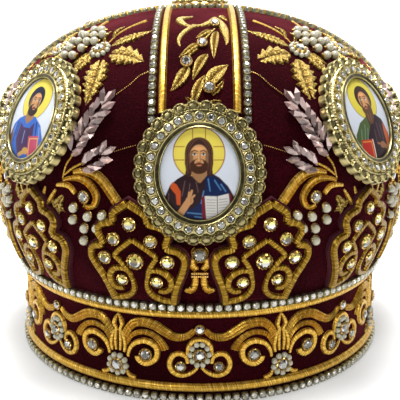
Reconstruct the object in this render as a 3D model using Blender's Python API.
"""Bishop's mitre: a bulging velvet crown on a stiff headband, dressed with gold cords, rows of set stones,
two crossing arches, eight oval icon medallions, twelve lobed appliques and a cross on a boss.

The origin is the centre of the hem, on the surface that the mitre stands on. +Z is up and the front faces -Y.
Sizes are in metres and angles in degrees.
"""

import math

import bmesh
import bpy
import numpy as np
from mathutils import Vector

# The headband, a stiff ring for a 59 cm head, slightly wider at its hem.
HEAD_RADIUS = 0.0940
BAND_WALL = 0.0038
BAND_HEIGHT = 0.0446
HEM_FLARE = 0.0022
RING_STEPS = 40

# The crown, a hollow dome that bulges over the headband.
CROWN_RADIUS = 0.1075
BULGE_HEIGHT = 0.0880
CROWN_TOP = 0.1790
SEAM_TUCK = 0.0003
CROWN_WALL = 0.0030
UNDER_POWER = 2.2
DOME_POWER = 3.0
UNDER_ROWS = 4
DOME_ROWS = 9

# Rows of set stones, each a tube of the row's width, and the padded gold cords beside them.
CHAIN_WIDTH = 0.0036
CHAIN_POINTS = 48
CHAIN_BEVEL_STEPS = 2
BAND_CORD_WIDTH = 0.0040
BAND_CORD_RISE = 0.0020
HEM_EDGE = 0.0005
HEM_CORD_GAP = 0.0010
ROW_GAP = 0.0004
SEAT_GAP = 0.0003

# The arches that cross on the crown: a row of stones outside and a gold cord inside, on each side of a field.
ARCH_HALF_WIDTH = 0.0198
ARCH_CHAIN_WIDTH = 0.0034
ARCH_CORD_WIDTH = 0.0029
ARCH_GAP = 0.0009
ARCH_PITCH = 0.0100

# The lobed appliques round the foot of the crown.
PALMETTE_COUNT = 12
PALMETTE_HALF_WIDTH = 0.0230
PALMETTE_HEIGHT = 0.0472
PALMETTE_THICKNESS = 0.0020
PALMETTE_TURN = 15.0
# side and up are shares of the half width and of the height, from the foot to the point.
PALMETTE_OUTLINE = (
    {"side": 0.76, "up": 0.00},
    {"side": 0.82, "up": 0.20},
    {"side": 1.00, "up": 0.45},
    {"side": 0.92, "up": 0.53},
    {"side": 0.76, "up": 0.56},
    {"side": 0.78, "up": 0.66},
    {"side": 0.54, "up": 0.75},
    {"side": 0.40, "up": 0.78},
    {"side": 0.34, "up": 0.84},
    {"side": 0.20, "up": 0.94},
    {"side": 0.00, "up": 1.00},
)

# The oval medallions: a cast dish with a raised border round an enamelled plaque, bent a little to follow the crown.
MEDALLION_COUNT = 8
MEDALLION_HALF_WIDTH = 0.0272
MEDALLION_HALF_HEIGHT = 0.0296
MEDALLION_BORDER = 0.0106
MEDALLION_BEND_RADIUS = 0.1600
MEDALLION_LEAN_SPAN = 0.0300
MEDALLION_STEPS = 20
MEDALLION_CLEARANCE = 0.0005
MEDALLION_BED = 0.0024
PLAQUE_EDGE = 0.0010
PLAQUE_CROWN = 0.0021
# out is a share of the border's width from its inner edge, and rise is the height over the plaque's bed.
FRAME_SECTION = (
    {"out": 0.00, "rise": 0.0000},
    {"out": 0.05, "rise": 0.0026},
    {"out": 0.20, "rise": 0.0024},
    {"out": 0.62, "rise": 0.0019},
    {"out": 1.00, "rise": -0.0012},
)

# The boss where the arches meet, and the cross on it.
BOSS_RADIUS = 0.0190
BOSS_RISE = 0.0050
KNOB_RADIUS = 0.0100
KNOB_RISE = 0.0045
CROSS_HEIGHT = 0.0450
CROSS_HALF_SPAN = 0.0150
CROSS_ARM = 0.0048
CROSS_BUD = 0.0088
CROSS_THICKNESS = 0.0034
CROSS_BAR_SHARE = 0.62

SIDES = ("front", "right", "back", "left")

MATERIALS = {
    "velvet": {"color": (0.060, 0.004, 0.012), "roughness": 0.85, "metallic": 0.0},
    "gold_thread": {"color": (0.62, 0.38, 0.07), "roughness": 0.42, "metallic": 0.8},
    "set_stones": {"color": (0.80, 0.80, 0.74), "roughness": 0.12, "metallic": 0.3},
    "pale_gold": {"color": (0.55, 0.47, 0.24), "roughness": 0.32, "metallic": 0.9},
    "enamel": {"color": (0.82, 0.83, 0.86), "roughness": 0.18, "metallic": 0.0},
}


def clear_scene():
    """Removes what a new file holds."""
    for obj in list(bpy.data.objects):
        bpy.data.objects.remove(obj)


def make_materials():
    """One Principled BSDF for each finish."""
    made = {}
    for name, look in MATERIALS.items():
        material = bpy.data.materials.new(name)
        material.use_nodes = True
        shader = material.node_tree.nodes["Principled BSDF"]
        shader.inputs["Base Color"].default_value = (*look["color"], 1.0)
        shader.inputs["Roughness"].default_value = look["roughness"]
        shader.inputs["Metallic"].default_value = look["metallic"]
        made[name] = material
    return made


def band_radius(height):
    """Outer radius of the headband, which flares towards its hem."""
    return HEAD_RADIUS + BAND_WALL + HEM_FLARE * (1.0 - height / BAND_HEIGHT)


def crown_radius(height):
    """Outer radius of the crown: a power curve in to the seam below the bulge, a superellipse above it."""
    if height < BULGE_HEIGHT:
        seam = HEAD_RADIUS + BAND_WALL - SEAM_TUCK
        down = (BULGE_HEIGHT - height) / (BULGE_HEIGHT - BAND_HEIGHT)
        return CROWN_RADIUS - (CROWN_RADIUS - seam) * down**UNDER_POWER
    up = min((height - BULGE_HEIGHT) / (CROWN_TOP - BULGE_HEIGHT), 1.0)
    return CROWN_RADIUS * math.sqrt(1.0 - up**DOME_POWER)


def crown_height(radius):
    """Height of the dome where it has this radius."""
    up = (1.0 - min(radius / CROWN_RADIUS, 1.0) ** 2) ** (1.0 / DOME_POWER)
    return BULGE_HEIGHT + (CROWN_TOP - BULGE_HEIGHT) * up


def crown_slope(height):
    """Unit outward normal of the crown's profile at this height, as (outwards, upwards)."""
    step = CROWN_TOP * 1e-4
    high = min(height + step, CROWN_TOP)
    low = max(high - 2.0 * step, BAND_HEIGHT)
    run = crown_radius(high) - crown_radius(low)
    rise = high - low
    length = math.hypot(run, rise)
    return rise / length, -run / length


def crown_point(azimuth, height, lift=0.0):
    """Point over the crown at an azimuth measured from the front towards +X, lifted along the normal."""
    out, up = crown_slope(height)
    radius = crown_radius(height) + lift * out
    angle = math.radians(azimuth)
    return Vector((radius * math.sin(angle), -radius * math.cos(angle), height + lift * up))


def chord_sag(half_width, radius):
    """How far a flat stretch of this half width dips inside a round of this radius."""
    return half_width**2 / (2.0 * radius)


def polygon_sag(radius):
    """How far the facets of the crown lie inside its true round."""
    return radius * (1.0 - math.cos(math.pi / RING_STEPS))


def finish(obj, material, smooth_angle=40.0):
    """Gives an object its material and smooth shading with sharp creases."""
    obj.data.materials.append(material)
    if obj.type == "MESH":
        obj.data.shade_smooth()
        obj.data.set_sharp_from_angle(angle=math.radians(smooth_angle))
    return obj


def mesh_object(name, points, faces, material):
    """A closed mesh object from points and faces, with its normals turned outwards."""
    mesh = bpy.data.meshes.new(name)
    mesh.from_pydata([tuple(p) for p in points], [], faces)
    shell = bmesh.new()
    shell.from_mesh(mesh)
    bmesh.ops.recalc_face_normals(shell, faces=shell.faces)
    shell.to_mesh(mesh)
    shell.free()
    obj = bpy.data.objects.new(name, mesh)
    bpy.context.scene.collection.objects.link(obj)
    return finish(obj, material)


def turned(name, profile, material, steps=RING_STEPS, closed=True):
    """A solid turned about Z from a profile of (radius, height) that runs down its outer side."""
    edges = [(i, i + 1) for i in range(len(profile) - 1)]
    if closed:
        edges.append((len(profile) - 1, 0))
    mesh = bpy.data.meshes.new(name)
    mesh.from_pydata([(radius, 0.0, height) for radius, height in profile], edges, [])
    obj = bpy.data.objects.new(name, mesh)
    bpy.context.scene.collection.objects.link(obj)
    screw = obj.modifiers.new("turn", "SCREW")
    screw.steps = steps
    screw.render_steps = steps
    screw.use_merge_vertices = True
    screw.merge_threshold = 0.00001
    screw.use_smooth_shade = True
    obj.data.materials.append(material)
    return obj


def row_tube(name, points, width, material, sides_step, cyclic=False):
    """A round bar along points, as a curve with a bevel."""
    curve = bpy.data.curves.new(name, "CURVE")
    curve.dimensions = "3D"
    curve.bevel_depth = width / 2.0
    curve.bevel_resolution = sides_step
    curve.use_fill_caps = not cyclic
    spline = curve.splines.new("POLY")
    spline.points.add(len(points) - 1)
    for target, point in zip(spline.points, points):
        target.co = (*point, 1.0)
    spline.use_cyclic_u = cyclic
    obj = bpy.data.objects.new(name, curve)
    bpy.context.scene.collection.objects.link(obj)
    return finish(obj, material)


def build_headband(materials):
    """The stiff velvet ring that grips the head, flat at its hem and under the crown."""
    soft = BAND_WALL * 0.25
    top = BAND_HEIGHT - SEAT_GAP
    profile = [
        (HEAD_RADIUS + soft, top),
        (band_radius(top) - soft, top),
        (band_radius(top - soft), top - soft),
        (band_radius(soft), soft),
        (band_radius(0.0) - soft, 0.0),
        (HEAD_RADIUS + soft, 0.0),
        (HEAD_RADIUS, soft),
        (HEAD_RADIUS, top - soft),
    ]
    return turned("headband", profile, materials["velvet"])


def crown_heights():
    """Heights of the rows of the crown's wall, closer together as the dome turns over."""
    under = [BAND_HEIGHT + (BULGE_HEIGHT - BAND_HEIGHT) * i / UNDER_ROWS for i in range(UNDER_ROWS)]
    dome = [BULGE_HEIGHT]
    for i in range(1, DOME_ROWS):
        turn = math.pi / 2.0 * i / DOME_ROWS
        dome.append(crown_height(CROWN_RADIUS * math.cos(turn)))
    return under + dome


def build_crown(materials):
    """The hollow velvet dome, open at the seam."""
    outer = [(crown_radius(z), z) for z in crown_heights()]
    inner = []
    for radius, height in outer:
        out, up = crown_slope(height)
        inner.append((radius - CROWN_WALL * out, max(height - CROWN_WALL * up, BAND_HEIGHT)))
    inner[0] = (outer[0][0] - CROWN_WALL, BAND_HEIGHT)
    profile = [(0.0, CROWN_TOP), *reversed(outer), *inner, (0.0, CROWN_TOP - CROWN_WALL)]
    return turned("crown_shell", profile, materials["velvet"], closed=False)


def hem_chain_height():
    """Height of the middle of the stones round the hem."""
    return HEM_EDGE + CHAIN_WIDTH / 2.0


def seam_chain_height():
    """Height of the middle of the stones round the seam."""
    return BAND_HEIGHT + ROW_GAP + CHAIN_WIDTH / 2.0


def seam_chain_radius():
    """Radius that lets the stones round the seam lie on the crown and clear the headband."""
    radii = [crown_radius(seam_chain_height() + CHAIN_WIDTH / 2.0), band_radius(BAND_HEIGHT)]
    return max(radii) + SEAT_GAP + CHAIN_WIDTH / 2.0


def ring_points(radius, height):
    """Points of a level ring."""
    turns = [2.0 * math.pi * i / CHAIN_POINTS for i in range(CHAIN_POINTS)]
    return [Vector((radius * math.sin(t), -radius * math.cos(t), height)) for t in turns]


def build_band_cord(name, middle, material):
    """A padded gold cord round the headband, flat behind and round in front."""
    half = BAND_CORD_WIDTH / 2.0
    section = (
        {"up": 1.0, "out": 0.0},
        {"up": 0.7, "out": 0.75},
        {"up": 0.0, "out": 1.0},
        {"up": -0.7, "out": 0.75},
        {"up": -1.0, "out": 0.0},
    )
    profile = []
    for row in section:
        height = middle + half * row["up"]
        profile.append((band_radius(height) + SEAT_GAP + BAND_CORD_RISE * row["out"], height))
    return turned(name, profile, material)


def build_band_trim(materials):
    """The stones and cords at the hem and at the seam."""
    gold = materials["gold_thread"]
    stones = materials["set_stones"]
    hem = hem_chain_height()
    hem_radius = band_radius(hem - CHAIN_WIDTH / 2.0) + SEAT_GAP + CHAIN_WIDTH / 2.0
    row_tube("hem_chain", ring_points(hem_radius, hem), CHAIN_WIDTH, stones, CHAIN_BEVEL_STEPS, True)
    seam = seam_chain_height()
    ring = ring_points(seam_chain_radius(), seam)
    row_tube("seam_chain", ring, CHAIN_WIDTH, stones, CHAIN_BEVEL_STEPS, True)
    build_band_cord("hem_cord", hem + (CHAIN_WIDTH + BAND_CORD_WIDTH) / 2.0 + HEM_CORD_GAP, gold)
    build_band_cord("seam_cord", seam - (CHAIN_WIDTH + BAND_CORD_WIDTH) / 2.0 - ROW_GAP, gold)


def arc_heights(start, length, count):
    """Heights reached by walking up the crown's profile, for count steps over this length."""
    fine = np.linspace(start, CROWN_TOP, 600)
    radii = np.array([crown_radius(z) for z in fine])
    walked = np.concatenate([[0.0], np.cumsum(np.hypot(np.diff(fine), np.diff(radii)))])
    return [float(np.interp(length * i / count, walked, fine)) for i in range(count + 1)]


def palmette_foot():
    """Height of the foot of the appliques, whose thickness hangs just clear of the stones of the seam."""
    row_top = seam_chain_height() + CHAIN_WIDTH / 2.0
    hang = -crown_slope(row_top)[1] * (palmette_lift() + PALMETTE_THICKNESS)
    return row_top + ROW_GAP + hang


def palmette_rows(lift):
    """Rows of an applique as (half angle in degrees, height), following the crown."""
    steps = 200
    walk = arc_heights(palmette_foot(), PALMETTE_HEIGHT, steps)
    rows = []
    for row in PALMETTE_OUTLINE:
        height = walk[round(row["up"] * steps)]
        around = crown_radius(height) + lift
        rows.append((math.degrees(PALMETTE_HALF_WIDTH * row["side"] / around), height))
    return rows


def palmette_azimuths():
    """Azimuths of the appliques, two beside each arch and one between."""
    return [PALMETTE_TURN + 360.0 * i / PALMETTE_COUNT for i in range(PALMETTE_COUNT)]


def palmette_lift():
    """Height of an applique's back over the crown, so that its flat halves clear the bulge."""
    return SEAT_GAP + chord_sag(PALMETTE_HALF_WIDTH / 2.0, HEAD_RADIUS)


def build_palmette(name, azimuth, material):
    """A stiff lobed applique bent round the crown, from three columns of points on its back and front."""
    back = palmette_lift()
    points, faces = [], []
    for lift in (back, back + PALMETTE_THICKNESS):
        for half, height in palmette_rows(lift):
            turns = (-half, 0.0, half) if half else (0.0,)
            points.extend(crown_point(azimuth + turn, height, lift) for turn in turns)
    rows = len(PALMETTE_OUTLINE) - 1
    side = 3 * rows + 1
    for i in range(rows - 1):
        for j in range(2):
            a = 3 * i + j
            faces.append((a, a + 3, a + 4, a + 1))
            faces.append((side + a, side + a + 1, side + a + 4, side + a + 3))
        for a, b in ((3 * i, 3 * i + 3), (3 * i + 5, 3 * i + 2)):
            faces.append((a, side + a, side + b, b))
    last, tip = 3 * (rows - 1), side - 1
    for j in range(2):
        faces.append((last + j, tip, last + j + 1))
        faces.append((side + last + j, side + last + j + 1, side + tip))
        faces.append((j + 1, side + j + 1, side + j, j))
    faces.append((last, side + last, side + tip, tip))
    faces.append((tip, side + tip, side + last + 2, last + 2))
    return mesh_object(name, points, faces, material)


def medallion_axes(azimuth, height):
    """(middle, across, up, out) of a medallion that leans with the crown between its top and its foot."""
    high = crown_radius(min(height + MEDALLION_LEAN_SPAN, CROWN_TOP))
    low = crown_radius(height - MEDALLION_LEAN_SPAN)
    lean = math.atan2(low - high, 2.0 * MEDALLION_LEAN_SPAN)
    angle = math.radians(azimuth)
    across = Vector((math.cos(angle), math.sin(angle), 0.0))
    level = Vector((math.sin(angle), -math.cos(angle), 0.0))
    out = level * math.cos(lean) + Vector((0.0, 0.0, math.sin(lean)))
    up = out.cross(across) * -1.0
    return crown_point(azimuth, height), across, up, out


def medallion_point(axes, across, up, rise):
    """A point of a medallion, bent back from its middle."""
    middle, side, tall, out = axes
    bend = (across**2 + up**2) / (2.0 * MEDALLION_BEND_RADIUS)
    return middle + side * across + tall * up + out * (rise - bend)


def crown_clearance(point):
    """How far a point lies over the crown, along the profile's normal."""
    height = min(max(point.z, BAND_HEIGHT), CROWN_TOP * 0.9995)
    out, _ = crown_slope(height)
    return (math.hypot(point.x, point.y) - crown_radius(height)) * out


def seat_medallion(azimuth, height):
    """The medallion's axes, moved out until its flat facets behind just clear the crown."""
    axes = medallion_axes(azimuth, height)
    centre = medallion_point(axes, 0.0, 0.0, -MEDALLION_BED)
    rim = [medallion_point(axes, *oval(i, 1.0), -MEDALLION_BED) for i in range(MEDALLION_STEPS)]
    rim.extend([(rim[i - 1] + rim[i]) / 2.0 for i in range(MEDALLION_STEPS)])
    shares = (0.0, 0.25, 0.5, 0.75, 1.0)
    lowest = min(crown_clearance(centre.lerp(point, share)) for point in rim for share in shares)
    middle, side, tall, out = axes
    return middle + out * (SEAT_GAP - lowest), side, tall, out


def oval(step, share, inset=0.0):
    """Point (across, up) of the border's oval at a share of its width from its inner edge."""
    angle = 2.0 * math.pi * step / MEDALLION_STEPS
    shrink = MEDALLION_BORDER * (1.0 - share) + inset
    wide = MEDALLION_HALF_WIDTH - shrink
    tall = MEDALLION_HALF_HEIGHT - shrink
    return wide * math.sin(angle), tall * math.cos(angle)


def medallion_height(azimuth):
    """The lowest height at which the medallion's oval clears the appliques round it."""
    corners = []
    lift = palmette_lift() + PALMETTE_THICKNESS
    for turn in palmette_azimuths():
        for half, height in palmette_rows(lift):
            for side in (-half, half):
                corners.append(crown_point(turn + side, height, lift))
    wide = MEDALLION_HALF_WIDTH + MEDALLION_CLEARANCE
    tall = MEDALLION_HALF_HEIGHT + MEDALLION_CLEARANCE
    height = palmette_foot() + MEDALLION_HALF_HEIGHT
    step = MEDALLION_CLEARANCE / 2.0
    while height < CROWN_TOP - MEDALLION_HALF_HEIGHT:
        middle, across, up, out = medallion_axes(azimuth, height)
        near = [corner - middle for corner in corners if (corner - middle).dot(out) > -CROWN_RADIUS / 2.0]
        if all((p.dot(across) / wide) ** 2 + (p.dot(up) / tall) ** 2 > 1.0 for p in near):
            break
        height += step
    return height


def build_frame(name, axes, material):
    """The cast dish: its bed, its raised border and its back."""
    points = [medallion_point(axes, 0.0, 0.0, 0.0), medallion_point(axes, 0.0, 0.0, -MEDALLION_BED)]
    rows = [(row["out"], row["rise"]) for row in FRAME_SECTION]
    rows.append((1.0, -MEDALLION_BED))
    count = len(rows)
    for i in range(MEDALLION_STEPS):
        for share, rise in rows:
            across, up = oval(i, share)
            points.append(medallion_point(axes, across, up, rise))
    faces = []
    for i in range(MEDALLION_STEPS):
        here = 2 + i * count
        there = 2 + (i + 1) % MEDALLION_STEPS * count
        faces.append((0, here, there))
        faces.append((1, there + count - 1, here + count - 1))
        for j in range(count - 1):
            faces.append((here + j, here + j + 1, there + j + 1, there + j))
    return mesh_object(name, points, faces, material)


def build_plaque(name, axes, material):
    """The domed enamel plaque inside the border."""
    points = [
        medallion_point(axes, 0.0, 0.0, SEAT_GAP),
        medallion_point(axes, 0.0, 0.0, PLAQUE_CROWN),
    ]
    for rise in (SEAT_GAP, PLAQUE_EDGE):
        for i in range(MEDALLION_STEPS):
            across, up = oval(i, 0.0, SEAT_GAP)
            points.append(medallion_point(axes, across, up, rise))
    faces = []
    for i in range(MEDALLION_STEPS):
        a, b = 2 + i, 2 + (i + 1) % MEDALLION_STEPS
        c, d = a + MEDALLION_STEPS, b + MEDALLION_STEPS
        faces.extend([(0, a, b), (a, c, d, b), (c, 1, d)])
    return mesh_object(name, points, faces, material)


def build_medallions(materials):
    """Eight medallions; those under the arches sit between two appliques and the others over one."""
    for i in range(MEDALLION_COUNT):
        azimuth = 360.0 * i / MEDALLION_COUNT
        axes = seat_medallion(azimuth, medallion_height(azimuth))
        build_frame(f"medallion_frame_{i + 1}", axes, materials["pale_gold"])
        build_plaque(f"icon_plaque_{i + 1}", axes, materials["enamel"])


def strip_point(offset, along, lift):
    """Point over the crown on a strip that runs parallel to the arch's middle line, along from the apex."""
    radius = min(math.hypot(offset, along), CROWN_RADIUS * 0.99999)
    height = crown_height(radius)
    out, up = crown_slope(height)
    scale = (radius + lift * out) / radius
    return Vector((offset * scale, -along * scale, height + lift * up))


def strip_points(offset, width, inner, axes):
    """Points of one strip of an arch, from its inner end down to the medallion at its foot."""
    lift = width / 2.0 + SEAT_GAP
    fine = [strip_point(offset, inner + (CROWN_RADIUS - inner) * i / 800.0, lift) for i in range(801)]
    middle, across, up, _ = axes
    wide = MEDALLION_HALF_WIDTH + MEDALLION_CLEARANCE + width / 2.0
    tall = MEDALLION_HALF_HEIGHT + MEDALLION_CLEARANCE + width / 2.0
    kept = []
    for point in fine:
        reach = point - middle
        if (reach.dot(across) / wide) ** 2 + (reach.dot(up) / tall) ** 2 < 1.0:
            break
        kept.append(point)
    walked = [0.0]
    for a, b in zip(kept, kept[1:]):
        walked.append(walked[-1] + (b - a).length)
    count = max(3, round(walked[-1] / ARCH_PITCH))
    wanted = np.linspace(0.0, walked[-1], count + 1)
    columns = [np.interp(wanted, walked, [p[k] for p in kept]) for k in range(3)]
    return [Vector(row) for row in zip(*columns)]


def clear_of_boss(offset, width):
    """How far from the arch's middle a strip must end to clear the boss."""
    reach = BOSS_RADIUS + SEAT_GAP + width / 2.0
    return math.sqrt(max(reach**2 - offset**2, 0.0))


def build_arches(materials):
    """Four arms, each with two rows of stones and two gold cords, which meet round the boss."""
    cord_offset = ARCH_HALF_WIDTH - ARCH_CHAIN_WIDTH / 2.0 - ARCH_GAP - ARCH_CORD_WIDTH / 2.0
    front_axes = seat_medallion(0.0, medallion_height(0.0))
    chain_stop = max(ARCH_HALF_WIDTH, clear_of_boss(ARCH_HALF_WIDTH, ARCH_CHAIN_WIDTH))
    cord_stop = clear_of_boss(cord_offset, ARCH_CORD_WIDTH)
    chain_butt = ARCH_HALF_WIDTH + ARCH_CHAIN_WIDTH / 2.0 + SEAT_GAP
    cord_butt = cord_offset + ARCH_CORD_WIDTH / 2.0 + SEAT_GAP
    for i, side in enumerate(SIDES):
        crossing = i % 2 == 0
        kinds = (
            ("chain", ARCH_HALF_WIDTH, ARCH_CHAIN_WIDTH, chain_butt if crossing else chain_stop, 2),
            ("cord", cord_offset, ARCH_CORD_WIDTH, max(cord_butt, cord_stop) if crossing else cord_stop, 1),
        )
        for kind, offset, width, inner, sides_step in kinds:
            finish_name = "set_stones" if kind == "chain" else "gold_thread"
            for mark, hand in (("a", -1.0), ("b", 1.0)):
                points = strip_points(offset * hand, width, inner, front_axes)
                turn = math.radians(90.0 * i)
                turned_points = [turn_about_z(point, turn) for point in points]
                name = f"arch_{kind}_{side}_{mark}"
                row_tube(name, turned_points, width, materials[finish_name], sides_step)


def turn_about_z(point, angle):
    """The point turned about Z by an angle in radians, from -Y towards +X."""
    cos, sin = math.cos(angle), math.sin(angle)
    return Vector((point.x * cos - point.y * sin, point.x * sin + point.y * cos, point.z))


def build_boss(materials):
    """The round boss over the crossing, stepped up to the knob that carries the cross."""
    base = CROWN_TOP + SEAT_GAP
    shoulder = base + BOSS_RISE
    top = shoulder + KNOB_RISE
    profile = [
        (0.0, top),
        (KNOB_RADIUS * 0.62, top),
        (KNOB_RADIUS, top - KNOB_RISE * 0.55),
        (KNOB_RADIUS, shoulder),
        (BOSS_RADIUS * 0.86, shoulder),
        (BOSS_RADIUS, shoulder - BOSS_RISE * 0.30),
        (BOSS_RADIUS, base),
        (0.0, base),
    ]
    turned("top_boss", profile, materials["pale_gold"], steps=20, closed=False)
    return top


def cross_outline():
    """Half outline of the cross as (side, up) from its foot to its head, with a lozenge bud on each arm."""
    arm = CROSS_ARM / 2.0
    bud = CROSS_BUD / 2.0
    bar = CROSS_HEIGHT * CROSS_BAR_SHARE
    return [
        (bud, 0.0),
        (arm, bud),
        (arm, bar - arm),
        (CROSS_HALF_SPAN - 2.0 * bud, bar - arm),
        (CROSS_HALF_SPAN - bud, bar - bud),
        (CROSS_HALF_SPAN, bar),
        (CROSS_HALF_SPAN - bud, bar + bud),
        (CROSS_HALF_SPAN - 2.0 * bud, bar + arm),
        (arm, bar + arm),
        (arm, CROSS_HEIGHT - 2.0 * bud),
        (bud, CROSS_HEIGHT - bud),
    ]


def build_cross(foot, materials):
    """The flat cross on the knob, facing front."""
    right = cross_outline()
    left = [(-side, up) for side, up in reversed(right)]
    outline = [*right, (0.0, CROSS_HEIGHT), *left]
    half = CROSS_THICKNESS / 2.0
    count = len(outline)
    points = [Vector((side, y, foot + SEAT_GAP + up)) for y in (-half, half) for side, up in outline]
    faces = [tuple(range(count)), tuple(reversed(range(count, 2 * count)))]
    for i in range(count):
        j = (i + 1) % count
        faces.append((j, i, count + i, count + j))
    return mesh_object("cross", points, faces, materials["pale_gold"])


def main():
    clear_scene()
    materials = make_materials()
    build_headband(materials)
    build_crown(materials)
    build_band_trim(materials)
    for i, azimuth in enumerate(palmette_azimuths()):
        build_palmette(f"palmette_{i + 1}", azimuth, materials["velvet"])
    build_medallions(materials)
    build_arches(materials)
    build_cross(build_boss(materials), materials)


main()
